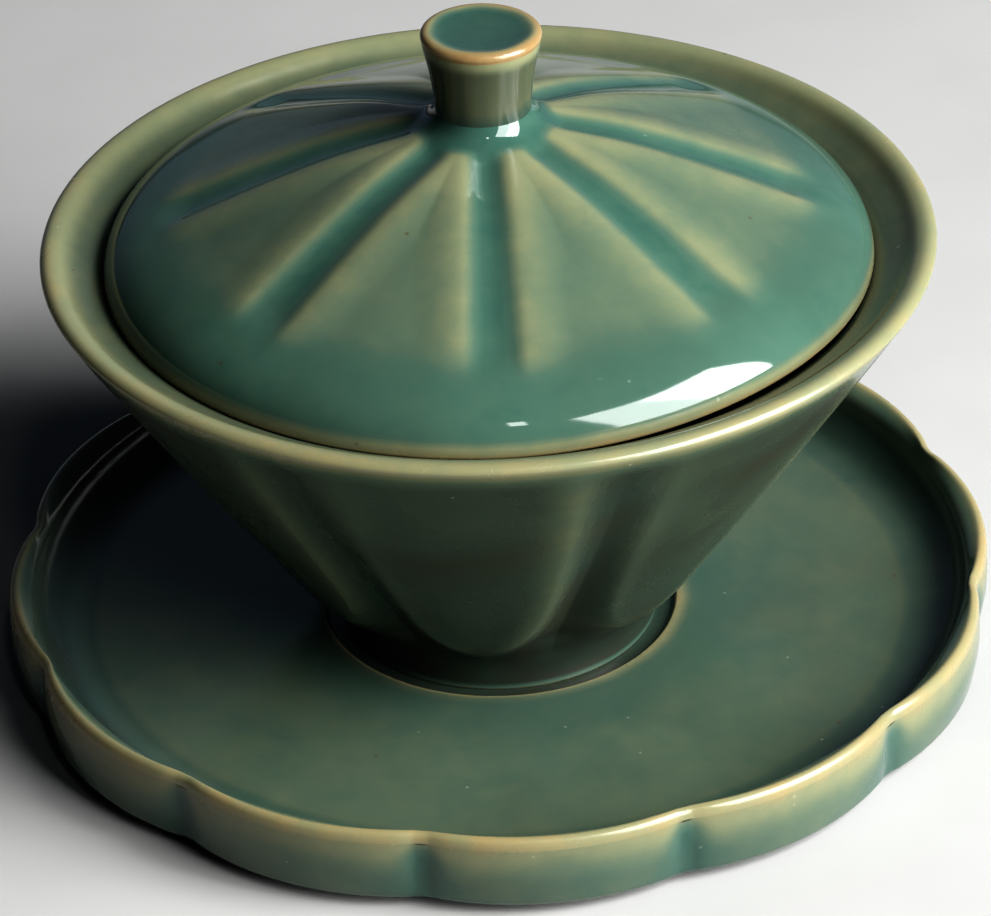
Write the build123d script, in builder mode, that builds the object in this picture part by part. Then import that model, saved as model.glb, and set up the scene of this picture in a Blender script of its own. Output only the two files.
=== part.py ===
from build123d import *
import os
from math import atan2, cos, degrees, hypot, radians, sin

# Covered tea bowl (gaiwan) in celadon-glazed stoneware: saucer, fluted bowl, fluted lid and the lid's knob.
# Millimetres, +Z up. The origin is the centre of the saucer's foot ring, on the surface the set stands on.
# The front is -Y. Angles of grooves and notches are measured from the front, positive towards +X.

# ---- Driving dimensions ----
SAUCER_RADIUS = 60.0        # crest of a lobe, at the wall's widest
SAUCER_NOTCH_RADIUS = 58.5  # bottom of the notch between two lobes
SAUCER_HEIGHT = 10.9
SAUCER_LOBES = 12
SAUCER_NOTCH_ANGLE = -9.8
SAUCER_WALL = 3.3           # rim thickness at a lobe's crest
SAUCER_FLOOR_Z = 4.4
SAUCER_UNDERSIDE_Z = 1.0

BOWL_RADIUS = 52.6          # widest point of the rim
BOWL_RIM_Z = 55.1           # height of that widest point
BOWL_FLUTES = 8
BOWL_FLUTE_ANGLE = 17.0
BOWL_FOOT_RADIUS = 19.2
BOWL_FOOT_WIDTH = 3.4
BOWL_FOOT_HEIGHT = 2.4

LID_RADIUS = 45.3
LID_EDGE_Z = 53.7           # height of the lid's widest point
LID_FLUTES = 8
LID_FLUTE_ANGLE = 0.5

KNOB_TOP_RADIUS = 7.0
KNOB_BASE_RADIUS = 5.6
KNOB_BASE_Z = 71.9
KNOB_TOP_Z = 82.0

WELL_RADIUS = 21.3          # sunk seat in the saucer that centres the bowl's foot
WELL_DEPTH = 1.0
WELL_Z = SAUCER_FLOOR_Z - WELL_DEPTH
FOOT_ROUNDING = 0.4         # worn edges of both foot rings
FRONT = -90.0               # polar angle of the front, from +X


def polar(radius, angle):
    """A point in plan, at an angle measured from the front."""
    turn = radians(FRONT + angle)
    return (radius * cos(turn), radius * sin(turn))


def tilted(start, end):
    """The place and tilt of a cutter whose axis runs from start to end, both (radius, height)."""
    run, rise = end[0] - start[0], end[1] - start[1]
    return Location((start[0], 0, start[1]), (0, degrees(atan2(run, rise)), 0))


def length(start, end):
    return hypot(end[0] - start[0], end[1] - start[1])


def flowing(*points, leave, arrive):
    """A smooth curve through the points, leaving the first and arriving at the last in given directions."""
    return Spline(*points, tangents=[leave, arrive], tangent_scalars=[1, 1])


# ---- Saucer: a shallow tray with a wall of twelve lobes, on a low foot ring ----
LOBE_PITCH = 360 / SAUCER_LOBES
FOOT_RING_OUTER = 46.0
FOOT_RING_INNER = 40.0
DISH_RADIUS = 50.5          # flat part of the floor
RIM_INNER_RADIUS = SAUCER_RADIUS - SAUCER_WALL
NOTCH_ROUNDING = 0.5
RIM_ROUNDING = 0.9
INNER_LIP_ROUNDING = 0.8
BELLY_ROUNDING = 2.4
ABOVE_RIM = SAUCER_HEIGHT + 1

with BuildPart() as saucer:
    with BuildSketch(Plane.XY.offset(SAUCER_UNDERSIDE_Z)) as lobed_outline:
        with BuildLine():
            for lobe in range(SAUCER_LOBES):
                start = SAUCER_NOTCH_ANGLE + lobe * LOBE_PITCH
                ThreePointArc(
                    polar(SAUCER_NOTCH_RADIUS, start),
                    polar(SAUCER_RADIUS, start + LOBE_PITCH / 2),
                    polar(SAUCER_NOTCH_RADIUS, start + LOBE_PITCH),
                )
        make_face()
        fillet(lobed_outline.vertices(), NOTCH_ROUNDING)
    extrude(amount=SAUCER_HEIGHT - SAUCER_UNDERSIDE_Z)
    fillet(saucer.edges().group_by(Axis.Z)[-1], RIM_ROUNDING)
    fillet(saucer.edges().group_by(Axis.Z)[0], BELLY_ROUNDING)
    # The dish: a flat floor, a cove up to the wall and a rounded inner lip.
    with BuildSketch(Plane.XZ):
        with BuildLine():
            Polyline((0, ABOVE_RIM), (0, SAUCER_FLOOR_Z), (DISH_RADIUS, SAUCER_FLOOR_Z))
            flowing(
                (DISH_RADIUS, SAUCER_FLOOR_Z),
                (RIM_INNER_RADIUS - 2.0, SAUCER_FLOOR_Z + 1.4),
                (RIM_INNER_RADIUS, SAUCER_HEIGHT - 2.0),
                leave=(1, 0), arrive=(0, 1),
            )
            Polyline((RIM_INNER_RADIUS, SAUCER_HEIGHT - 2.0), (RIM_INNER_RADIUS, ABOVE_RIM), (0, ABOVE_RIM))
        make_face()
    revolve(axis=Axis.Z, mode=Mode.SUBTRACT)
    fillet(saucer.edges().filter_by(GeomType.CIRCLE).group_by(Axis.Z)[-1], INNER_LIP_ROUNDING)
    # The well that the bowl's foot stands in.
    with BuildSketch(Plane.XY.offset(WELL_Z)):
        Circle(WELL_RADIUS)
    extrude(amount=WELL_DEPTH, mode=Mode.SUBTRACT)
    # The unglazed foot ring.
    with BuildSketch(Plane.XY):
        Circle(FOOT_RING_OUTER)
        Circle(FOOT_RING_INNER, mode=Mode.SUBTRACT)
    extrude(amount=SAUCER_UNDERSIDE_Z)
    fillet(saucer.edges().group_by(Axis.Z)[0], FOOT_ROUNDING)
saucer.part.label = "saucer"

# ---- Bowl: a flaring wall pressed into eight lobes, on a turned foot that stands in the well ----
LIP_CREST = (BOWL_RADIUS - 1.3, BOWL_RIM_Z + 0.9)
SEAT = (46.5, 53.4)         # where the flared lip turns down into the wall, beside the lid's edge

with BuildPart() as bowl:
    with BuildSketch(Plane.XZ):
        with BuildLine():
            Polyline((0, WELL_Z), (BOWL_FOOT_RADIUS, WELL_Z), (BOWL_FOOT_RADIUS, WELL_Z + 1.6))
            flowing(
                (BOWL_FOOT_RADIUS, WELL_Z + 1.6),
                (BOWL_FOOT_RADIUS + 0.9, WELL_Z + 4.6),
                (BOWL_FOOT_RADIUS + 3.6, WELL_Z + 7.2),
                leave=(0, 1), arrive=(1, 0.75),
            )
            flowing(
                (BOWL_FOOT_RADIUS + 3.6, WELL_Z + 7.2),
                (30.2, 20.0),
                (36.9, 30.0),
                (43.4, 40.0),
                (48.4, 48.0),
                (BOWL_RADIUS, BOWL_RIM_Z),
                leave=(1, 1), arrive=(0.62, 1),
            )
            ThreePointArc((BOWL_RADIUS, BOWL_RIM_Z), (BOWL_RADIUS - 0.4, BOWL_RIM_Z + 0.7), LIP_CREST)
            flowing(LIP_CREST, (49.6, 54.75), SEAT, leave=(-1, -0.1), arrive=(-1, -0.45))
            flowing(
                SEAT,
                (44.9, 52.2),
                (43.6, 49.6),
                (38.3, 41.0),
                (31.6, 31.0),
                (24.4, 20.5),
                (14.0, 10.6),
                (0, 8.0),
                leave=(-1, -0.45), arrive=(-1, 0),
            )
            Line((0, 8.0), (0, WELL_Z))
        make_face()
    revolve(axis=Axis.Z)
    # The recess inside the foot ring.
    with BuildSketch(Plane.XY.offset(WELL_Z)):
        Circle(BOWL_FOOT_RADIUS - BOWL_FOOT_WIDTH)
    extrude(amount=BOWL_FOOT_HEIGHT, mode=Mode.SUBTRACT)
    fillet(bowl.edges().group_by(Axis.Z)[0], FOOT_ROUNDING)
    # Grooves between the lobes: each a long hollow that starts above the foot and fades out below the rim.
    GROOVE_LOW, GROOVE_HIGH = (27.9, 8.5), (59.7, 52.0)
    with PolarLocations(0, BOWL_FLUTES, start_angle=FRONT + BOWL_FLUTE_ANGLE):
        with Locations(tilted(GROOVE_LOW, GROOVE_HIGH)):
            Cone(
                7.0, 7.2, length(GROOVE_LOW, GROOVE_HIGH),
                align=(Align.CENTER, Align.CENTER, Align.MIN), mode=Mode.SUBTRACT,
            )
bowl.part.label = "bowl"

# ---- Lid: a low dome with a rounded shoulder, pressed into eight panels, resting inside the bowl's lip ----
with BuildPart() as lid:
    with BuildSketch(Plane.XZ):
        with BuildLine():
            Line((0, KNOB_BASE_Z), (KNOB_BASE_RADIUS, KNOB_BASE_Z))
            flowing(
                (KNOB_BASE_RADIUS, KNOB_BASE_Z),
                (8.0, 70.55),
                (15.0, 68.75),
                (24.0, 65.6),
                (33.0, 61.9),
                (39.0, 59.2),
                (43.2, 56.7),
                (LID_RADIUS, LID_EDGE_Z),
                leave=(0.5, -1), arrive=(0, -1),
            )
            flowing(
                (LID_RADIUS, LID_EDGE_Z),
                (44.3, 52.25),
                (42.8, 52.5),
                leave=(0, -1), arrive=(-0.5, 1),
            )
            flowing(
                (42.8, 52.5),
                (40.6, 55.3),
                (33.0, 59.2),
                (20.0, 64.4),
                (0, 67.6),
                leave=(-0.5, 1), arrive=(-1, 0),
            )
            Line((0, 67.6), (0, KNOB_BASE_Z))
        make_face()
    revolve(axis=Axis.Z)
    # Radial grooves, narrow at the knob and wider outwards, that fade out before the shoulder.
    PRESS_INNER, PRESS_OUTER = (8.4, 71.5), (40.0, 65.2)
    with PolarLocations(0, LID_FLUTES, start_angle=FRONT + LID_FLUTE_ANGLE):
        with Locations(tilted(PRESS_INNER, PRESS_OUTER)):
            Cone(
                1.3, 5.5, length(PRESS_INNER, PRESS_OUTER),
                align=(Align.CENTER, Align.CENTER, Align.MIN), mode=Mode.SUBTRACT,
            )
lid.part.label = "lid"

# ---- Knob: thrown separately as a small inverted cone and luted to the lid's crown ----
KNOB_LIP_Z = KNOB_TOP_Z - 1.5
KNOB_LIP_ROUNDING = 1.3

with BuildPart() as lid_knob:
    with BuildSketch(Plane.XZ) as knob_half:
        with BuildLine():
            Polyline((0, KNOB_TOP_Z), (0, KNOB_BASE_Z), (KNOB_BASE_RADIUS, KNOB_BASE_Z))
            flowing(
                (KNOB_BASE_RADIUS, KNOB_BASE_Z),
                (KNOB_BASE_RADIUS + 0.2, KNOB_BASE_Z + 3.0),
                (KNOB_TOP_RADIUS, KNOB_LIP_Z),
                leave=(0, 1), arrive=(0.15, 1),
            )
            Polyline((KNOB_TOP_RADIUS, KNOB_LIP_Z), (KNOB_TOP_RADIUS, KNOB_TOP_Z), (0, KNOB_TOP_Z))
        make_face()
    revolve(axis=Axis.Z)
    fillet(lid_knob.edges().group_by(Axis.Z)[-1], KNOB_LIP_ROUNDING)
lid_knob.part.label = "lid_knob"

os.makedirs("parts", exist_ok=True)
for piece in (saucer, bowl, lid, lid_knob):
    export_step(piece.part, f"parts/{piece.part.label}.step")
    print(piece.part.label, round(piece.part.volume), piece.part.bounding_box())
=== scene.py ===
from math import cos, hypot, pi, radians, sin

import bpy
import numpy as np
from mathutils import Matrix, Vector


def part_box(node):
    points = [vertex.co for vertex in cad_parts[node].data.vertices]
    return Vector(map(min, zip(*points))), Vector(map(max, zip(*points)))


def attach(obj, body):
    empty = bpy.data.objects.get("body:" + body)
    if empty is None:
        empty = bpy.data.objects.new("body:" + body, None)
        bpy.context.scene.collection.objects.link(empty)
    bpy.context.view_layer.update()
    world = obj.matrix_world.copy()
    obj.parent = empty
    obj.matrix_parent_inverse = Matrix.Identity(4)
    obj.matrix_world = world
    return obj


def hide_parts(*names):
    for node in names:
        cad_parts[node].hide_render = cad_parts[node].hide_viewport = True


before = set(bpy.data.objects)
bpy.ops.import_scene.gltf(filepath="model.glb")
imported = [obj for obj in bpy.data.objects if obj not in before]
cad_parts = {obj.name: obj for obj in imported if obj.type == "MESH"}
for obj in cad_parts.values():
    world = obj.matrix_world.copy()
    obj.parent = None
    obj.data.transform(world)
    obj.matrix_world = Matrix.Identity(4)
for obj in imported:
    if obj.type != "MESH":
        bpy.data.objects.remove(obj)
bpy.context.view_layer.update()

# A covered tea bowl in celadon glaze: saucer, fluted bowl, fluted lid and knob. Shapes are in millimetres
# and become metres when a mesh is made. Angles are in degrees from the front (-Y), positive towards +X.
MM = 0.001


# ---- Camera: a long lens, a little above the set ----
CAMERA_DISTANCE = 616.9
CAMERA_ELEVATION = 34.2
CAMERA_TILT_UP = 1.9        # it looks a little above the origin
CAMERA_ROLL = -2.0
SENSOR_WIDTH = 36.0
FOCAL_LENGTH = 181.6


def add_camera():
    data = bpy.data.cameras.new("camera")
    data.sensor_width = SENSOR_WIDTH
    data.lens = FOCAL_LENGTH
    data.clip_start = 0.01
    data.clip_end = 50
    camera = bpy.data.objects.new("camera", data)
    rise = radians(CAMERA_ELEVATION)
    place = Vector((0, -cos(rise), sin(rise))) * CAMERA_DISTANCE * MM
    turn = Matrix.Rotation(radians(90 - CAMERA_ELEVATION + CAMERA_TILT_UP), 4, "X")
    roll = Matrix.Rotation(radians(CAMERA_ROLL), 4, "Z")
    camera.matrix_world = Matrix.Translation(place) @ turn @ roll
    bpy.context.scene.collection.objects.link(camera)
    bpy.context.scene.camera = camera


# ---- Sizes of the pieces, read from the frame ----
def reach(node):
    """A node's largest distance from the axis."""
    return max(hypot(v.co.x, v.co.y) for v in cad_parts[node].data.vertices) / MM


def heights(node):
    low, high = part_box(node)
    return low.z / MM, high.z / MM


SAUCER_RADIUS = reach("saucer")
BOWL_RADIUS = reach("bowl")
LID_RADIUS = reach("lid")
KNOB_RADIUS = reach("lid_knob")
TABLE_Z, SAUCER_TOP = heights("saucer")
WELL_Z, BOWL_TOP = heights("bowl")
LID_LOW, CROWN_Z = heights("lid")
KNOB_TOP = heights("lid_knob")[1]


# ---- Outlines: rows of (radius, height), from the bottom centre round to the top centre ----
FINE_STEPS = 60             # points between two given points of a curve, before it is divided evenly


def straight(start, end, step):
    count = max(2, round(hypot(end[0] - start[0], end[1] - start[1]) / step) + 1)
    return np.linspace(start, end, count)


def arc(centre, radius, start, end, step):
    """Part of a circle, from one direction to another in degrees: 0 points outwards and 90 up."""
    count = max(3, round(abs(radians(end - start)) * radius / step) + 1)
    turn = np.radians(np.linspace(start, end, count))
    return np.stack([centre[0] + radius * np.cos(turn), centre[1] + radius * np.sin(turn)], axis=1)


def flowing(points, leave, arrive, step):
    """A curve of continuous curvature through the points, leaving and arriving in the given directions."""
    p = np.array(points, float)
    run = np.hypot(*np.diff(p, axis=0).T)
    slope = np.diff(p, axis=0) / run[:, None]
    last = len(p) - 1
    matrix = np.zeros((last + 1, last + 1))
    right = np.zeros((last + 1, 2))
    matrix[0, :2] = 2, 1
    right[0] = 6 * (slope[0] - np.array(leave) / hypot(*leave)) / run[0]
    matrix[last, last - 1:] = 1, 2
    right[last] = 6 * (np.array(arrive) / hypot(*arrive) - slope[-1]) / run[-1]
    for i in range(1, last):
        matrix[i, i - 1:i + 2] = run[i - 1], 2 * (run[i - 1] + run[i]), run[i]
        right[i] = 6 * (slope[i] - slope[i - 1])
    bend = np.linalg.solve(matrix, right)
    pieces = []
    for i in range(last):
        t = np.linspace(0, run[i], FINE_STEPS, endpoint=i == last - 1)[:, None]
        rest = run[i] - t
        pieces.append(
            (bend[i] * rest**3 + bend[i + 1] * t**3) / (6 * run[i])
            + (p[i] / run[i] - bend[i] * run[i] / 6) * rest
            + (p[i + 1] / run[i] - bend[i + 1] * run[i] / 6) * t
        )
    fine = np.concatenate(pieces)
    along = np.concatenate([[0], np.cumsum(np.hypot(*np.diff(fine, axis=0).T))])
    even = np.linspace(0, along[-1], max(3, round(along[-1] / step) + 1))
    return np.stack([np.interp(even, along, fine[:, 0]), np.interp(even, along, fine[:, 1])], axis=1)


def joined(**sections):
    """One list of rows, and for each section's name the mask of its rows. Shared ends are kept once."""
    rows, names = [], []
    for name, section in sections.items():
        if rows:
            section = section[1:]
        rows.extend(section)
        names.extend([name] * len(section))
    names = np.array(names)
    return np.array(rows), {name: names == name for name in sections}


def normals(rows):
    """Outward direction of each row of an outline."""
    ahead = np.gradient(rows, axis=0)
    ahead /= np.hypot(*ahead.T)[:, None]
    return np.stack([ahead[:, 1], -ahead[:, 0]], axis=1)


# ---- Shaping helpers ----
def fade(low, high, x):
    """0 below low, 1 above high, and a smooth step between; low may be above high."""
    t = np.clip((x - low) / (high - low), 0, 1)
    return t * t * (3 - 2 * t)


def bump(x, centre, width):
    return np.exp(-(((x - centre) / width) ** 2))


def blend(a, b, share):
    return a + (b - a) * share


def nearest(angle, first, count):
    """Angle from the nearest of count evenly spaced grooves, and that groove's number."""
    pitch = 360 / count
    number = np.round((angle - first) / pitch)
    return angle - first - number * pitch, number % count


def columns(count, first=0.0, folds=1, crowding=0.0):
    """Angles of a piece's columns, crowded round the grooves that lie at first + n * 360 / folds."""
    even = np.arange(count) * 360 / count
    return first + even - crowding * np.degrees(np.sin(np.radians(even * folds))) / folds


def wobble(angle, z, amount):
    """The slight unroundness of hand-turned ware."""
    turn = np.radians(angle)
    slow = np.cos(2 * turn + 0.7 + 0.01 * z) + 0.6 * np.cos(3 * turn + 2.1 - 0.02 * z)
    return amount * (slow + 0.3 * np.cos(5 * turn + 0.05 * z))


def closed_surface(name, angle, radius, height, **finish):
    """A closed mesh from a grid of rows and columns, with each end row drawn together into one point.

    Each finish is a value for every grid point, 0 to 1, that the glaze material reads.
    """
    rows, count = radius.shape
    turn = np.radians(angle)
    x = radius * np.sin(turn)
    y = -radius * np.cos(turn)
    grid = np.stack([x, y, height], axis=2)[1:-1].reshape(-1, 3)
    ends = np.array([[0, 0, height[0].mean()], [0, 0, height[-1].mean()]])
    points = np.concatenate([ends, grid]) * MM
    inner = rows - 2
    here = 2 + np.arange(count)
    beside = 2 + (np.arange(count) + 1) % count
    faces = [(0, int(b), int(a)) for a, b in zip(here, beside)]
    for row in range(inner - 1):
        low = row * count
        faces += [
            (int(a + low), int(b + low), int(b + low + count), int(a + low + count))
            for a, b in zip(here, beside)
        ]
    top = (inner - 1) * count
    faces += [(int(a + top), int(b + top), 1) for a, b in zip(here, beside)]
    mesh = bpy.data.meshes.new(name)
    mesh.from_pydata(points.tolist(), [], faces)
    mesh.polygons.foreach_set("use_smooth", np.ones(len(mesh.polygons), bool))
    for label, values in finish.items():
        values = np.broadcast_to(values, radius.shape)
        flat = np.concatenate([[values[0].mean(), values[-1].mean()], values[1:-1].ravel()])
        mesh.attributes.new(label, "FLOAT", "POINT").data.foreach_set("value", flat.astype(np.float32))
    mesh.validate()
    mesh.update()
    piece = bpy.data.objects.new(name, mesh)
    bpy.context.scene.collection.objects.link(piece)
    return piece


def place(piece, body, node, slot, material):
    piece.data.materials.append(material)
    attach(piece, body)
    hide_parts(node)


# ---- Saucer ----
SAUCER_COLUMNS = 468
LOBES = 12
NOTCH_ANGLE = -9.8
NOTCH_CROWDING = 0.62       # how closely the columns gather round the notches
LOBE_OFFSET = 25.5          # each lobe is an arc of this centre distance and radius
LOBE_RADIUS = SAUCER_RADIUS - LOBE_OFFSET
SAUCER_WALL = 3.3
SAUCER_INNER = SAUCER_RADIUS - SAUCER_WALL
FLOOR_Z = WELL_Z + 1.0
FLOOR_RADIUS = 50.2         # where the flat floor meets the cove
UNDERSIDE_Z = TABLE_Z + 1.0
BELLY_ROUNDING = 1.8
WELL_RADIUS = 21.3
RING_INNER, RING_OUTER = 40.0, 46.0
RING_ROUNDING = 0.4         # the worn edges of the foot ring
RING_FILLET = 0.5           # where the foot ring meets the underside
HALO_ANGLE = 75             # the thin glaze round the well is broadest on this side


def lobed_radius(angle):
    """Radius of the lobed outline: twelve arcs whose meeting notches are slightly rounded."""
    off, _ = nearest(angle, NOTCH_ANGLE + 180 / LOBES, LOBES)
    turn = np.radians(off)
    radius = LOBE_OFFSET * np.cos(turn) + np.sqrt(LOBE_RADIUS**2 - (LOBE_OFFSET * np.sin(turn)) ** 2)
    notch, _ = nearest(angle, NOTCH_ANGLE, LOBES)
    return radius + 0.16 * bump(notch, 0, 0.55)


def saucer_outline():
    edge = SAUCER_RADIUS
    top = SAUCER_TOP
    belly = (edge - 2.2, UNDERSIDE_Z + BELLY_ROUNDING)
    wall_end = (edge - 0.1, top - 1.4)
    inner_lip = (SAUCER_INNER, top - 2.0)
    ring_in = RING_INNER + RING_ROUNDING
    ring_out = RING_OUTER - RING_ROUNDING
    fillet_in = RING_INNER - RING_FILLET
    fillet_out = RING_OUTER + RING_FILLET
    return joined(
        under=straight((0, UNDERSIDE_Z), (fillet_in, UNDERSIDE_Z), 2.2),
        ring_in=arc((fillet_in, UNDERSIDE_Z - RING_FILLET), RING_FILLET, 90, 0, 0.2),
        ring_low=arc((ring_in, TABLE_Z + RING_ROUNDING), RING_ROUNDING, 180, 270, 0.15),
        ring=straight((ring_in, TABLE_Z), (ring_out, TABLE_Z), 0.6),
        ring_edge=arc((ring_out, TABLE_Z + RING_ROUNDING), RING_ROUNDING, -90, 0, 0.15),
        ring_out=arc((fillet_out, UNDERSIDE_Z - RING_FILLET), RING_FILLET, 180, 90, 0.2),
        shelf=straight((fillet_out, UNDERSIDE_Z), (belly[0], UNDERSIDE_Z), 0.8),
        belly=arc(belly, BELLY_ROUNDING, -90, -10, 0.2),
        wall=flowing(
            [(edge - 0.43, UNDERSIDE_Z + 1.49), (edge, top - 5.4), wall_end],
            (0.17, 1), (-0.03, 1), 0.25,
        ),
        rim=flowing(
            [wall_end, (edge - 0.35, top - 0.35), (edge - 0.95, top), (edge - 1.7, top - 0.28),
             (SAUCER_INNER + 0.5, top - 1.0), inner_lip],
            (-0.03, 1), (-0.2, -1), 0.14,
        ),
        cove=flowing(
            [inner_lip, (SAUCER_INNER - 0.45, top - 3.4), (SAUCER_INNER - 2.2, FLOOR_Z + 1.3),
             (FLOOR_RADIUS, FLOOR_Z)],
            (-0.2, -1), (-1, 0), 0.3,
        ),
        floor=straight((FLOOR_RADIUS, FLOOR_Z), (WELL_RADIUS + 1.0, FLOOR_Z), 1.2),
        well_lip=arc((WELL_RADIUS + 0.6, FLOOR_Z - 0.45), 0.45, 90, 180, 0.12),
        well_wall=straight((WELL_RADIUS + 0.15, FLOOR_Z - 0.45), (WELL_RADIUS, WELL_Z + 0.35), 0.2),
        well_foot=arc((WELL_RADIUS - 0.35, WELL_Z + 0.35), 0.35, 0, -90, 0.12),
        well=straight((WELL_RADIUS - 0.35, WELL_Z), (0, WELL_Z), 1.5),
    )


def saucer_finish(part, r, z, angle):
    """Glaze thickness, bare clay, and darkening for iron and painted shade over the saucer."""
    edge = SAUCER_RADIUS
    top = SAUCER_TOP
    notch, _ = nearest(angle, NOTCH_ANGLE, LOBES)
    wall = (part["wall"] | part["belly"])[:, None]
    rim = part["rim"][:, None]
    cove = part["cove"][:, None]
    floor = part["floor"][:, None]
    well = (part["well"] | part["well_foot"])[:, None]
    well_lip = (part["well_lip"] | part["well_wall"])[:, None]
    ring = (part["ring"] | part["ring_low"] | part["ring_edge"])[:, None]
    under = (part["under"] | part["shelf"])[:, None]
    up = (z - UNDERSIDE_Z) / (top - UNDERSIDE_Z)
    down = (top - 2.0 - z) / (top - 2.0 - FLOOR_Z)

    # The wall is tan above and green below, and green again in each notch.
    glaze = np.full((len(z), SAUCER_COLUMNS), 0.6)
    low_edge = 0.36 + 0.10 * np.minimum(np.abs(notch) / 15, 1) ** 2 + 0.03 * np.cos(np.radians(3 * angle))
    band = blend(0.6, 0.24, fade(low_edge - 0.1, low_edge + 0.6, up))
    triangle = bump(notch, 0, 0.75 + 3.4 * (1 - up)) * fade(0.97, 0.62, up)
    glaze = np.where(wall, blend(band, 0.84, triangle), glaze)
    glaze = np.where(rim, blend(0.24, 0.6, fade(edge - 0.9, edge - 2.3, r)), glaze)
    in_cove = blend(0.6, 0.86, fade(0.1, 0.6, down)) - 0.2 * fade(0.75, 1.0, down)
    glaze = np.where(cove, in_cove, glaze)

    # The floor is even, with a faint ring near its edge and a thin line round the well.
    on_floor = blend(0.57, 0.66, fade(48.3, FLOOR_RADIUS, r)) - 0.07 * bump(r, 48.9, 0.5)
    on_floor = on_floor + 0.12 * fade(36, 23, r)
    halo = fade(80, 10, np.abs((angle - HALO_ANGLE + 180) % 360 - 180))
    line = bump(r, WELL_RADIUS + 0.7, 0.6 + 0.5 * halo) * (0.5 + 0.5 * halo)
    glaze = np.where(floor, blend(on_floor, 0.24, line), glaze)
    glaze = np.where(well_lip, 0.24 + 0.58 * fade(FLOOR_Z - 0.35, FLOOR_Z - 0.8, z), glaze)
    glaze = np.where(well, 0.82, glaze)
    near_ring = bump(r, RING_INNER - 0.6, 0.7) + bump(r, RING_OUTER + 0.6, 0.7)
    glaze = np.where(under, blend(0.62, 0.08, np.minimum(near_ring, 1)), glaze)

    bare = np.where(ring, fade(TABLE_Z + 0.45, TABLE_Z + 0.3, z), 0)
    # Darkening: painted shade in the gap between the bowl's foot and the well wall, in the cove under the
    # rim, and on the rim's inner side towards it. The floor is darkened a little all over and more towards
    # the cove, as painted shade there. The wall is darkened a little more towards the bottom.
    well_iron = 0.75 * fade(WELL_RADIUS - 3.4, WELL_RADIUS - 2.2, r) * fade(FLOOR_Z, WELL_Z, z)
    cove_iron = blend(0.35, 0.62, fade(0.0, 0.6, down)) - 0.25 * fade(0.75, 1.0, down)
    iron = np.where(floor, blend(0.28, 0.37, fade(47.5, FLOOR_RADIUS, r)), 0)
    iron = np.where(cove, cove_iron, iron)
    iron = np.where(well | well_lip, well_iron, iron)
    iron = np.where(rim, 0.35 * fade(edge - 1.4, SAUCER_INNER, r), iron)
    iron = np.where(wall, blend(0.16, 0.1, fade(0.4, 0.9, up)), iron)
    return {"glaze": glaze, "bare": bare, "iron": iron}


def make_saucer():
    edge = SAUCER_RADIUS
    rows, part = saucer_outline()
    r, z = rows[:, :1], rows[:, 1:]
    angle = columns(SAUCER_COLUMNS, NOTCH_ANGLE, LOBES, NOTCH_CROWDING)[None, :]
    outer = (part["belly"] | part["wall"] | part["shelf"])[:, None]
    rim = part["rim"][:, None]
    # Only the wall follows the lobes, and the rim brings it back to the round inside.
    follow = np.where(outer, fade(50, edge - 3.0, r), 0)
    follow = np.where(rim, fade(SAUCER_INNER + 0.2, edge - 0.9, r), follow)
    notch, _ = nearest(angle, NOTCH_ANGLE, LOBES)
    # The notches are pinched deeper at mid height and the rim dips a little above each.
    pinch = -0.35 * bump(notch, 0, 1.7) * bump(z, 6.0, 4.2)
    lobed = lobed_radius(angle) - SAUCER_RADIUS
    radius = r + follow * (lobed + pinch) + wobble(angle, z, 0.05) * fade(20, 55, r)
    sag = 0.05 * np.cos(np.radians(2 * angle + 40)) * fade(15, 60, r)
    height = z - np.where(rim, 0.16 * bump(notch, 0, 2.0) * follow, 0)
    height = height + np.where(z > FLOOR_Z - 0.05, sag, 0)
    return closed_surface("saucer_glazed", angle, radius, height, **saucer_finish(part, r, z, angle))


# ---- Bowl ----
BOWL_COLUMNS = 512
FLUTES = 8
HALF_PITCH = 180 / FLUTES
FLUTE_CROWDING = 0.45       # how closely the bowl's and the lid's columns gather round the flutes
BOWL_FLUTE_ANGLE = 17.0
FOOT_RADIUS = 19.2
FOOT_WIDTH = 3.4
FOOT_ROUNDING = 0.4
RECESS_Z = WELL_Z + 2.4
RECESS_ROUNDING = 0.8
LOBE_HALF_WIDTH = 17.3      # degrees, at the rim
LOBE_END_Z = 10.6
VALLEY_DEPTH = 2.75
RIDGE_HEIGHT = 0.09
LIP_WIDEST_Z = BOWL_TOP - 0.9
SEAT = (46.5, 53.4)         # where the flared lip turns down into the wall, beside the lid's edge


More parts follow.
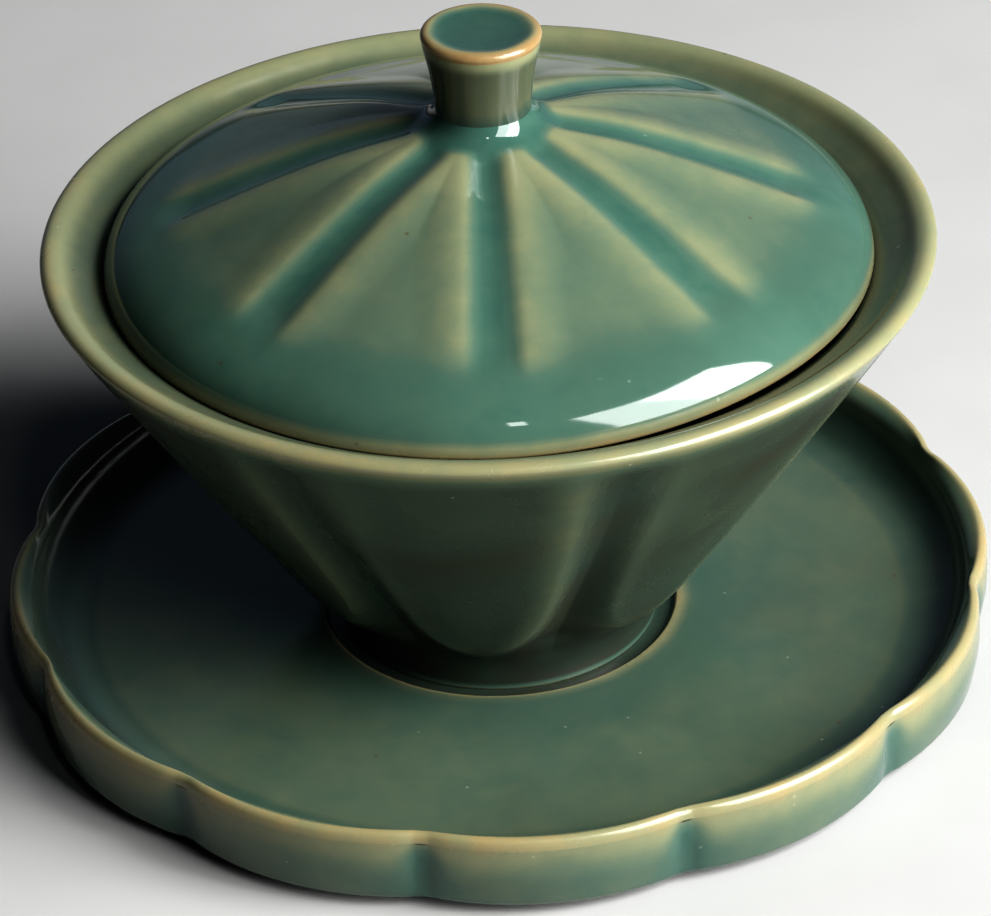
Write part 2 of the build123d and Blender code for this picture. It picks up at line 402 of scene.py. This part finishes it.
def bowl_outline():
    edge = BOWL_RADIUS
    widest = LIP_WIDEST_Z
    crest = (edge - 1.3, BOWL_TOP)
    lip_end = (edge - 2.2, BOWL_TOP - 0.24)
    recess = FOOT_RADIUS - FOOT_WIDTH
    recess_corner = (recess - RECESS_ROUNDING, RECESS_Z - RECESS_ROUNDING)
    low = WELL_Z + FOOT_ROUNDING
    return joined(
        recess=straight((0, RECESS_Z), (recess_corner[0], RECESS_Z), 2.0),
        recess_wall=arc(recess_corner, RECESS_ROUNDING, 90, 0, 0.25),
        foot_in=straight((recess, recess_corner[1]), (recess + 0.1, low), 0.4),
        foot_low=arc((recess + 0.5, low), FOOT_ROUNDING, 180, 270, 0.15),
        foot=straight((recess + 0.5, WELL_Z), (FOOT_RADIUS - FOOT_ROUNDING, WELL_Z), 0.5),
        foot_edge=arc((FOOT_RADIUS - FOOT_ROUNDING, low), FOOT_ROUNDING, -90, 0, 0.15),
        wall=flowing(
            [(FOOT_RADIUS, low), (FOOT_RADIUS + 0.15, WELL_Z + 2.4), (20.1, 8.0), (22.8, 10.6),
             (30.2, 20.0), (36.9, 30.0), (43.4, 40.0), (48.4, 48.0), (edge, widest)],
            (0, 1), (0.55, 1), 0.68,
        ),
        lip=flowing(
            [(edge, widest), (edge - 0.3, widest + 0.62), crest, lip_end],
            (0.35, 1), (-1, -0.42), 0.16,
        ),
        flare=flowing(
            [lip_end, (49.0, 54.72), (47.6, 53.95), SEAT],
            (-1, -0.42), (-1, -0.45), 0.35,
        ),
        inside=flowing(
            [SEAT, (44.9, 52.2), (43.6, 49.6), (38.3, 41.0), (31.6, 31.0), (24.4, 20.5), (14.0, 10.6),
             (0, 8.0)],
            (-1, -0.45), (-1, 0), 1.5,
        ),
    )


def bowl_finish(part, r, z, off, valley, ridge_lit_side):
    """Glaze thickness, bare clay, and darkening for iron and painted shade over the bowl."""
    wall = part["wall"][:, None]
    inside = part["inside"][:, None]
    flare = part["flare"][:, None]
    foot = (part["foot"] | part["foot_low"] | part["foot_edge"])[:, None]

    # The wall is pale on the ridges, paler on one side of each valley as painted light, green in the valleys
    # and at the foot, and tan under the lip.
    lobes = blend(0.56, 0.44, ridge_lit_side) + 0.2 * valley * bump(off, 0, 4.0)
    on_wall = blend(0.8, lobes, fade(10, 16, z))
    on_wall = blend(on_wall, 0.56, fade(48, 54, z))
    on_wall = blend(on_wall, 0.86, fade(13, 8, z))
    on_wall = blend(on_wall, 0.3, fade(53.2, 54.6, z))
    glaze = np.where(wall, on_wall, 0.6)
    glaze = np.where(part["lip"][:, None], 0.29 + 0.05 * fade(52.0, 50.4, r), glaze)
    glaze = np.where(flare, blend(0.34, 0.47, fade(50.4, 47.6, r)), glaze)
    pool = blend(0.55, 0.95, fade(22, 4, r))
    pressed = 0.12 * bump(off, 0, 5) * fade(14, 50, z)
    glaze = np.where(inside, blend(pool, 0.5, fade(44.5, 46.5, r)) + pressed, glaze)

    bare = np.where(foot, fade(WELL_Z + 0.22, WELL_Z + 0.08, z), 0)
    # Darkening of the wall: iron in the thin glaze and painted shade under the lip's overhang, less on the
    # ridges and most at the foot. On the flare, painted shade towards where the lid sits.
    iron = blend(0.76, 0.3, ridge_lit_side) * fade(54.6, 51.5, z)
    iron = np.where(wall, blend(0.85, iron, fade(8, 16, z)), 0)
    iron = np.where(flare, 0.34 * fade(50.8, 48.2, r), iron)
    return {"glaze": glaze, "bare": bare, "iron": iron}


def make_bowl():
    rows, part = bowl_outline()
    r, z = rows[:, :1], rows[:, 1:]
    angle = columns(BOWL_COLUMNS, BOWL_FLUTE_ANGLE, FLUTES, FLUTE_CROWDING)[None, :]
    off, number = nearest(angle, BOWL_FLUTE_ANGLE, FLUTES)
    valley_lit_side = fade(2, -2, off)
    off = np.abs(off)
    strength = 1 + 0.06 * np.sin(2.4 * number + 1)
    # Each lobe is widest at the rim and narrows to a rounded end above the foot, with a soft ridge along
    # its edges. Between two lobes the wall falls back into a valley.
    lobe_width = LOBE_HALF_WIDTH * (1 - np.exp(-np.maximum(z - LOBE_END_Z, 0) / 4.6))
    valley_width = 24.0 - lobe_width
    share = np.clip(off / valley_width, 0, 1)
    valley = 0.6 * (0.5 + 0.5 * np.cos(pi * share)) + 0.4 * (1 - share)
    shallower = blend(1, 0.1, np.clip((z - 14) / 40, 0, 1))
    deepest = VALLEY_DEPTH * fade(7.2, 13.5, z) * shallower * fade(55, 51, z)
    depth = deepest * (0.78 * valley + 0.22 * (1 - off / HALF_PITCH) ** 2) * strength
    depth = depth - RIDGE_HEIGHT * bump(off, valley_width, 2.4) * fade(10, 15, z) * fade(54.5, 50, z)
    # The inside is pressed in a little behind each valley.
    press = 0.35 * bump(off, 0, 6.0) * fade(12, 20, z) * fade(50, 40, z)
    radius = r - np.where(part["wall"][:, None], depth, 0) - np.where(part["inside"][:, None], press, 0)
    radius = radius + wobble(angle, z, 0.05) * fade(15, 45, r)
    radius[0] = radius[-1] = 0
    height = z + 0.06 * np.cos(np.radians(2 * angle - 30)) * fade(30, 55, z)
    # Ridges on one side of each valley are kept paler and less darkened than on the other, which is painted
    # light and shade.
    ridge_lit_side = bump(off, valley_width, 3.6) * blend(0.3, 1, valley_lit_side)
    finish = bowl_finish(part, r, z, off, valley, ridge_lit_side)
    return closed_surface("bowl_glazed", angle, radius, height, **finish)


# ---- Lid ----
LID_COLUMNS = 540
LID_FLUTE_ANGLE = 0.5
LID_WIDEST_Z = CROWN_Z - 18.9
LID_SETTLE = 0.1            # the lid sits this much lower than its outline
GROOVE_DEPTH = 0.55
GROOVE_END = 38.0           # the grooves fade out near this radius
RIDGE_RISE = 0.17           # the grooves' edges stand up
PANEL_HOLLOW = 0.22         # and the panels between them are slightly hollow
LID_WARP_ANGLE = 42.0       # the fired lid stands a little proud of the bowl round here
LID_WARP_RISE = 0.36
LID_WARP_IN = 0.34
COLLAR = (8.6, 70.35)       # where the dome turns up towards the knob
COLLAR_TOP = (5.4, 73.1)
RESTING_EDGE = (42.8, 52.5)


def lid_outline():
    edge = LID_RADIUS
    widest = LID_WIDEST_Z
    return joined(
        under=flowing(
            [(0, 67.6), (20.0, 64.4), (33.0, 59.2), (40.6, 55.3), RESTING_EDGE],
            (1, 0), (0.5, -1), 1.1,
        ),
        rest=flowing(
            [RESTING_EDGE, (43.4, LID_LOW + 0.02), (44.7, 52.4), (edge, widest)],
            (0.5, -1), (0, 1), 0.25,
        ),
        dome=flowing(
            [(edge, widest), (45.0, 54.5), (43.3, 56.7), (39.0, 59.2), (33.0, 61.9), (24.0, 65.6),
             (15.0, 68.7), COLLAR],
            (0, 1), (-1, 0.28), 0.46,
        ),
        collar=flowing(
            [COLLAR, (7.1, 70.9), (6.1, 71.75), COLLAR_TOP],
            (-1, 0.28), (-0.3, 1), 0.2,
        ),
        crown=straight(COLLAR_TOP, (0, COLLAR_TOP[1]), 1.2),
    )


def lid_finish(part, r, z, ridge, groove, panel):
    """Glaze thickness, bare clay, and a slight darkening of the panels over the lid."""
    dome = (part["dome"] | part["collar"])[:, None]
    rest = part["rest"][:, None]
    on_panel = blend(0.57, 0.75, fade(33, 40.5, r))
    gold = blend(0.34, 0.43, fade(9, 24, r))
    glaze = blend(on_panel, gold, ridge)
    glaze = blend(glaze, 0.82, groove * blend(1, 0.6, fade(33, 40, r)))
    glaze = blend(0.86, glaze, fade(7.0, 8.8, r))
    glaze = blend(glaze, 0.76, fade(36.5, 41.5, r) * dome)
    thin_edge = fade(LID_WIDEST_Z + 2.1, LID_WIDEST_Z + 0.7, z)
    glaze = np.where(dome, blend(glaze, 0.32, thin_edge), glaze)
    glaze = np.where(rest, 0.2, glaze)
    glaze = np.where(part["under"][:, None], blend(0.66, 0.25, fade(41.0, 42.6, r)), glaze)
    bare = np.where(rest, fade(52.75, 52.4, z), 0)
    iron = np.where(dome, 0.12 * panel, 0)
    return {"glaze": glaze, "bare": bare, "iron": iron}


def make_lid():
    rows, part = lid_outline()
    r, z = rows[:, :1], rows[:, 1:]
    face = normals(rows)
    angle = columns(LID_COLUMNS, LID_FLUTE_ANGLE, FLUTES, FLUTE_CROWDING)[None, :]
    off, number = nearest(angle, LID_FLUTE_ANGLE, FLUTES)
    # The grooves widen outwards, and no two are quite alike.
    aside = np.abs(np.radians(off)) * r
    half_width = (1.25 + 0.033 * r) * (1 + 0.06 * np.sin(2.1 * number))
    end = GROOVE_END + 0.7 * np.sin(1.7 * number + np.sign(off))
    rounded = r + 0.10 * np.maximum(np.abs(aside - half_width - 2.0) - 0.8, 0) ** 2
    beyond = aside - half_width
    groove = fade(1.45, 0.35, aside / half_width)
    ridge = fade(-0.9, 1.4, beyond) * fade(7.5, 0.8, beyond)
    ridge = ridge * fade(end + 2.4, end - 2.8, rounded)
    panel = fade(1.0, 7.0, beyond)
    dome = (part["dome"] | part["collar"])[:, None]
    pressed = -GROOVE_DEPTH * bump(aside, 0, 1.25 * half_width) * fade(39.5, 34.5, r)
    relief = pressed + RIDGE_RISE * ridge - PANEL_HOLLOW * panel * fade(39, 33, r)
    relief = relief * fade(6.8, 9.6, r) * dome
    away = np.abs((angle - LID_WARP_ANGLE + 180) % 360 - 180)
    warp = fade(44, 0, away) * fade(36, 45, r)
    radius = r + face[:, :1] * relief + wobble(angle, z, 0.03) * fade(10, 40, r) - LID_WARP_IN * warp
    height = z + face[:, 1:] * relief + LID_WARP_RISE * warp - LID_SETTLE
    radius[0] = radius[-1] = 0
    finish = lid_finish(part, r, z, ridge, groove, panel)
    return closed_surface("lid_glazed", angle, radius, height, **finish)


# ---- Knob ----
KNOB_COLUMNS = 240
KNOB_FOOT_Z = CROWN_Z - 1.3     # its foot is inside the lid's collar
KNOB_FOOT_RADIUS = 5.45
KNOB_RISE = 0.42                # it stands this much higher than its CAD solid


def knob_outline():
    top = KNOB_TOP
    foot = (KNOB_FOOT_RADIUS, KNOB_FOOT_Z)
    side_end = (6.9, top - 1.2)
    face_edge = (5.2, top - 0.16)
    return joined(
        base=straight((0, KNOB_FOOT_Z), foot, 1.2),
        side=flowing(
            [foot, (5.6, CROWN_Z + 0.6), (5.85, top - 7.0), (6.35, top - 4.0), side_end],
            (0.15, 1), (0.1, 1), 0.14,
        ),
        rim=flowing(
            [side_end, (KNOB_RADIUS, top - 0.75), (6.75, top - 0.2), (6.15, top), face_edge],
            (0.1, 1), (-1, -0.16), 0.1,
        ),
        face=flowing([face_edge, (2.5, top - 0.4), (0, top - 0.46)], (-1, -0.16), (-1, 0), 0.25),
    )


def make_knob():
    top = KNOB_TOP
    rows, part = knob_outline()
    r, z = rows[:, :1], rows[:, 1:]
    angle = columns(KNOB_COLUMNS)[None, :]
    radius = r + wobble(angle, z * 4, 0.02) * fade(2, 6, r)
    lean = 0.06 * np.cos(np.radians(angle + 60)) * fade(CROWN_Z + 4, top, z) * r / KNOB_RADIUS
    height = z + lean + KNOB_RISE * fade(CROWN_Z, CROWN_Z + 2, z)
    radius[0] = radius[-1] = 0

    # The glaze is thick at the foot, thin up the side and all but gone from the rim, and pools on top.
    side = part["side"][:, None]
    rim = part["rim"][:, None]
    on_side = blend(0.8, 0.42, fade(CROWN_Z + 0.3, CROWN_Z + 2.3, z + 0.3 * np.cos(np.radians(2 * angle))))
    glaze = np.where(side, blend(on_side, 0.33, fade(top - 3.0, top - 1.4, z)), 0.8)
    glaze = np.where(rim, 0.12, glaze)
    ragged = 0.1 * np.cos(np.radians(2 * angle + 50)) + 0.06 * np.cos(np.radians(7 * angle))
    face = part["face"][:, None] | (rim & (r < 6.6) & (z > top - 0.5))
    glaze = np.where(face, blend(0.86, 0.15, fade(4.7, 6.5, r + ragged)), glaze)
    # The side is darkened from a few millimetres below the rim down to the lid, and the rest of the knob
    # slightly.
    iron = np.where(side, 0.58 * fade(top - 1.5, top - 3, z), 0.1)
    return closed_surface("knob_glazed", angle, radius, height, glaze=glaze, iron=iron)


# ---- Glaze ----
def linear(colour, strength=1.0):
    """A screen colour, 0 to 255, as the linear values that a shader takes."""
    parts = [c / 255 for c in colour]
    parts = [c / 12.92 if c <= 0.04045 else ((c + 0.055) / 1.055) ** 2.4 for c in parts]
    return tuple(c * strength for c in parts) + (1.0,)


GLAZE_COLOURS = {           # glaze thickness: screen colour, from nearly bare edges to deep pools
    0.00: (142, 98, 64),
    0.12: (172, 147, 104),
    0.28: (154, 152, 117),
    0.45: (126, 137, 111),
    0.62: (99, 122, 105),
    0.80: (79, 112, 99),
    1.00: (58, 93, 85),
}
CLAY_COLOURS = {0.25: (112, 74, 48), 0.5: (150, 104, 70), 0.75: (176, 132, 94)}
# Dark glaze colours, for iron in the clay and for painted shade.
COOL_IRON_AND_SHADE = (56, 62, 52)
WARM_IRON_AND_SHADE = (68, 60, 48)
SPECK_COLOUR = (70, 52, 34)
BUBBLE_COLOUR = (205, 214, 190)
GLAZE_DEPTH = 0.53          # dims the glaze colours and the dark iron and painted-shade colours, which are as seen in bright light

# Noise scales, in cells per metre.
CLOUD_SCALE = 95
FLOW_SCALE = 310
GRAIN_SCALE = 1100
DRIFT_SCALE = 42
SPECK_SCALE = 330
BUBBLE_SCALE = 700


class Nodes:
    """A short way to add linked nodes to a node tree."""

    def __init__(self, tree):
        self.tree = tree
        tree.nodes.clear()

    def add(self, kind, settings=None, **inputs):
        """A node with its inputs given by name, or by number as i0, i1 and so on."""
        node = self.tree.nodes.new(kind)
        for name, value in (settings or {}).items():
            setattr(node, name, value)
        for name, value in inputs.items():
            numbered = name[0] == "i" and name[1:].isdigit()
            key = int(name[1:]) if numbered else name.replace("_", " ")
            self.feed(node.inputs[key], value)
        return node

    def feed(self, socket, value):
        """Link a socket to another node's output, or set it to a plain value."""
        if isinstance(value, bpy.types.NodeSocket):
            self.tree.links.new(value, socket)
        else:
            socket.default_value = value

    def math(self, operation, a, b=0.0, clamp=False):
        node = self.add("ShaderNodeMath", {"operation": operation, "use_clamp": clamp}, i0=a, i1=b)
        return node.outputs[0]

    def noise(self, vector, scale, detail=3.0, roughness=0.55, distortion=0.0):
        node = self.add(
            "ShaderNodeTexNoise", None,
            Vector=vector, Scale=scale, Detail=detail, Roughness=roughness, Distortion=distortion,
        )
        return node.outputs["Fac"]

    def spread(self, value, low, high, to_low=0.0, to_high=1.0):
        node = self.add("ShaderNodeMapRange", {"interpolation_type": "SMOOTHSTEP"}, i0=value)
        for index, number in enumerate((low, high, to_low, to_high), start=1):
            node.inputs[index].default_value = number
        return node.outputs[0]

    def ramp(self, value, stops, strength=1.0):
        node = self.add("ShaderNodeValToRGB", None, Fac=value)
        node.color_ramp.interpolation = "CARDINAL"
        elements = node.color_ramp.elements
        while len(elements) < len(stops):
            elements.new(0.5)
        for element, (position, colour) in zip(elements, sorted(stops.items())):
            element.position = position
            element.color = linear(colour, strength)
        return node.outputs["Color"]

    def mix(self, share, a, b):
        node = self.add("ShaderNodeMix", {"data_type": "RGBA"})
        for index, value in ((0, share), (6, a), (7, b)):
            self.feed(node.inputs[index], value)
        return node.outputs[2]

    def attribute(self, name):
        return self.add("ShaderNodeAttribute", {"attribute_name": name}).outputs["Fac"]

    def swing(self, value, amount):
        """A noise value, 0 to 1, as a swing either way about zero."""
        return self.math("MULTIPLY", self.math("SUBTRACT", value, 0.5), amount)

    def spots(self, vector, scale, channel, rarity, size):
        """Scattered round spots: cells whose random colour channel is high, faded out from their centres."""
        cells = self.add("ShaderNodeTexVoronoi", {"feature": "F1"}, Vector=vector, Scale=scale)
        split = self.add("ShaderNodeSeparateColor", None, Color=cells.outputs["Color"])
        chosen = self.spread(split.outputs[channel], *rarity)
        return self.math("MULTIPLY", self.spread(cells.outputs["Distance"], *size), chosen)


def celadon(name, cloud, mottle=0.05, satin=0.28, thin_roughness=0.24):
    """Celadon over iron-bearing clay: green where the glaze is thick, tan to brown where it is thin."""
    material = bpy.data.materials.new(name)
    material.use_nodes = True
    n = Nodes(material.node_tree)
    where = n.add("ShaderNodeTexCoord").outputs["Object"]
    glaze = n.attribute("glaze")
    bare = n.attribute("bare")
    iron = n.attribute("iron")

    clouds = n.noise(where, CLOUD_SCALE, 3, 0.5, 0.6)
    flow = n.noise(where, FLOW_SCALE, 4, 0.6, 0.4)
    grain = n.noise(where, GRAIN_SCALE, 2, 0.5)
    thick = n.math("ADD", glaze, n.swing(clouds, cloud * 3.2))
    thick = n.math("ADD", thick, n.swing(flow, mottle * 3))
    thick = n.math("ADD", thick, n.swing(grain, 0.02), clamp=True)
    colour = n.ramp(thick, GLAZE_COLOURS, GLAZE_DEPTH)

    # Iron from the clay, and painted shade in hollows, under overhangs and between parts, darken the glaze
    # in soft clouds.
    drift = n.noise(where, DRIFT_SCALE, 3, 0.5, 0.8)
    warm = n.spread(drift, 0.5, 0.8)
    dark = n.mix(warm, linear(COOL_IRON_AND_SHADE, GLAZE_DEPTH), linear(WARM_IRON_AND_SHADE, GLAZE_DEPTH))
    share = n.math("MULTIPLY", iron, n.spread(drift, 0.25, 0.7, 0.85, 1.2), clamp=True)
    colour = n.mix(share, colour, dark)

    # Iron specks under the glaze, and pale bubbles in it.
    speck = n.spots(where, SPECK_SCALE, channel=0, rarity=(0.96, 0.97), size=(0.13, 0.05))
    colour = n.mix(n.math("MULTIPLY", speck, 0.5), colour, linear(SPECK_COLOUR))
    bubble = n.spots(where, BUBBLE_SCALE, channel=1, rarity=(0.988, 0.99), size=(0.22, 0.10))
    colour = n.mix(n.math("MULTIPLY", bubble, 0.07), colour, linear(BUBBLE_COLOUR))

    # Bare clay, with a ragged edge where the glaze stops.
    clay = n.ramp(n.noise(where, 700, 5, 0.7), CLAY_COLOURS)
    edge = n.spread(n.math("ADD", bare, n.swing(flow, 0.5)), 0.35, 0.65)
    colour = n.mix(edge, colour, clay)

    # Thick glaze is glossy, thin glaze less so, glaze darkened for iron and painted shade satin, and bare
    # clay matt.
    gloss = n.spread(thick, 0.2, 0.55, thin_roughness, 0.05)
    gloss = n.math("MULTIPLY", gloss, n.spread(n.noise(where, 160, 3), 0.3, 0.7, 0.85, 1.3))
    gloss = n.math("ADD", gloss, n.math("MULTIPLY", grain, 0.01))
    gloss = n.math("ADD", gloss, n.math("MULTIPLY", share, satin))
    gloss = n.math("ADD", gloss, n.math("MULTIPLY", bubble, 0.25))
    matt = n.math("MULTIPLY", edge, 0.65)
    roughness = n.math("ADD", gloss, matt, clamp=True)

    # Relief: the glaze's slow undulation, orange peel, pinholes, and the clay's grain where it is bare.
    slow = n.math("MULTIPLY", n.noise(where, 130, 2, 0.4), 0.045)
    peel = n.math("MULTIPLY", n.noise(where, 480, 1, 0.5), 0.0012)
    pits = n.math("MULTIPLY", n.math("MAXIMUM", bubble, n.math("MULTIPLY", speck, 0.4)), -0.0015)
    grit = n.math("MULTIPLY", n.math("MULTIPLY", n.noise(where, 2600, 4, 0.7), edge), 0.09)
    surface = n.math("ADD", n.math("ADD", slow, peel), n.math("ADD", pits, grit))
    relief = n.add("ShaderNodeBump", None, Strength=1.0, Distance=MM, Height=surface).outputs["Normal"]

    shader = n.add(
        "ShaderNodeBsdfPrincipled", None,
        Base_Color=colour, Roughness=roughness, Normal=relief, IOR=1.45,
    )
    n.add("ShaderNodeOutputMaterial", None, Surface=shader.outputs[0])
    return material


# ---- Stage: a pale floor, soft windows at the front right, and a dim room that is brighter behind ----
FLOOR_HALF = 6.0            # metres
LIGHT_DISTANCE = 0.9        # metres, from the middle of the set
WINDOW_HEIGHT = 0.76        # metres
LIGHT_AIM = Vector((0, 0, 50)) * MM


def add_floor():
    corners = [(x, y, 0) for x, y in ((-1, -1), (1, -1), (1, 1), (-1, 1))]
    corners = [(x * FLOOR_HALF, y * FLOOR_HALF, z) for x, y, z in corners]
    mesh = bpy.data.meshes.new("floor")
    mesh.from_pydata(corners, [], [(0, 1, 2, 3)])
    floor = bpy.data.objects.new("floor", mesh)
    floor.location.z = TABLE_Z * MM
    bpy.context.scene.collection.objects.link(floor)
    material = bpy.data.materials.new("pale_floor")
    material.use_nodes = True
    n = Nodes(material.node_tree)
    where = n.add("ShaderNodeTexCoord").outputs["Object"]
    tone = n.ramp(n.noise(where, 30, 3), {0.3: (153, 153, 152), 0.7: (157, 157, 156)})
    shader = n.add("ShaderNodeBsdfPrincipled", None, Base_Color=tone, Roughness=0.8)
    n.add("ShaderNodeOutputMaterial", None, Surface=shader.outputs[0])
    mesh.materials.append(material)


def add_panel(name, azimuth, elevation, width, height, radiance):
    """A rectangular soft light aimed at the set. Azimuth is measured from the front towards +X."""
    data = bpy.data.lights.new(name, "AREA")
    data.shape = "RECTANGLE"
    data.size = width
    data.size_y = height
    data.energy = pi * radiance * width * height
    light = bpy.data.objects.new(name, data)
    turn = radians(azimuth)
    rise = radians(elevation)
    direction = Vector((sin(turn) * cos(rise), -cos(turn) * cos(rise), sin(rise)))
    light.location = LIGHT_AIM + LIGHT_DISTANCE * direction
    light.rotation_mode = "QUATERNION"
    light.rotation_quaternion = direction.to_track_quat("Z", "Y")
    bpy.context.scene.collection.objects.link(light)


def add_room():
    world = bpy.data.worlds.new("room")
    world.use_nodes = True
    n = Nodes(world.node_tree)
    direction = n.add("ShaderNodeTexCoord").outputs["Generated"]
    split = n.add("ShaderNodeSeparateXYZ", None, Vector=direction)
    right, back = split.outputs[0], split.outputs[1]
    behind = n.spread(back, 0.45, 1.0)
    beside = n.spread(right, 0.3, 1.0)
    colour = n.mix(behind, linear((7, 7, 7)), linear((100, 113, 128)))
    colour = n.mix(n.math("MULTIPLY", beside, 0.1), colour, linear((150, 152, 150)))
    background = n.add("ShaderNodeBackground", None, Color=colour, Strength=1.0)
    n.add("ShaderNodeOutputWorld", None, Surface=background.outputs[0])
    bpy.context.scene.world = world


add_camera()
add_floor()
add_room()
add_panel("window", azimuth=47.5, elevation=30, width=0.42, height=WINDOW_HEIGHT, radiance=12.5)
add_panel("window_right", azimuth=72, elevation=30, width=0.37, height=WINDOW_HEIGHT, radiance=19)
add_panel("small_window", azimuth=9, elevation=55, width=0.06, height=0.10, radiance=12)

saucer_celadon = celadon("saucer_celadon", cloud=0.08)
bowl_celadon = celadon("bowl_celadon", cloud=0.06)
lid_celadon = celadon("lid_celadon", cloud=0.05)
knob_celadon = celadon("knob_celadon", cloud=0.04, satin=0.0, thin_roughness=0.22)

place(make_saucer(), "saucer", "saucer", "saucer_glaze", saucer_celadon)
place(make_bowl(), "bowl", "bowl", "bowl_glaze", bowl_celadon)
place(make_lid(), "lid", "lid", "lid_glaze", lid_celadon)
place(make_knob(), "lid", "lid_knob", "knob_glaze", knob_celadon)

bpy.context.scene.view_settings.view_transform = "Standard"
bpy.context.scene.view_settings.look = "High Contrast"
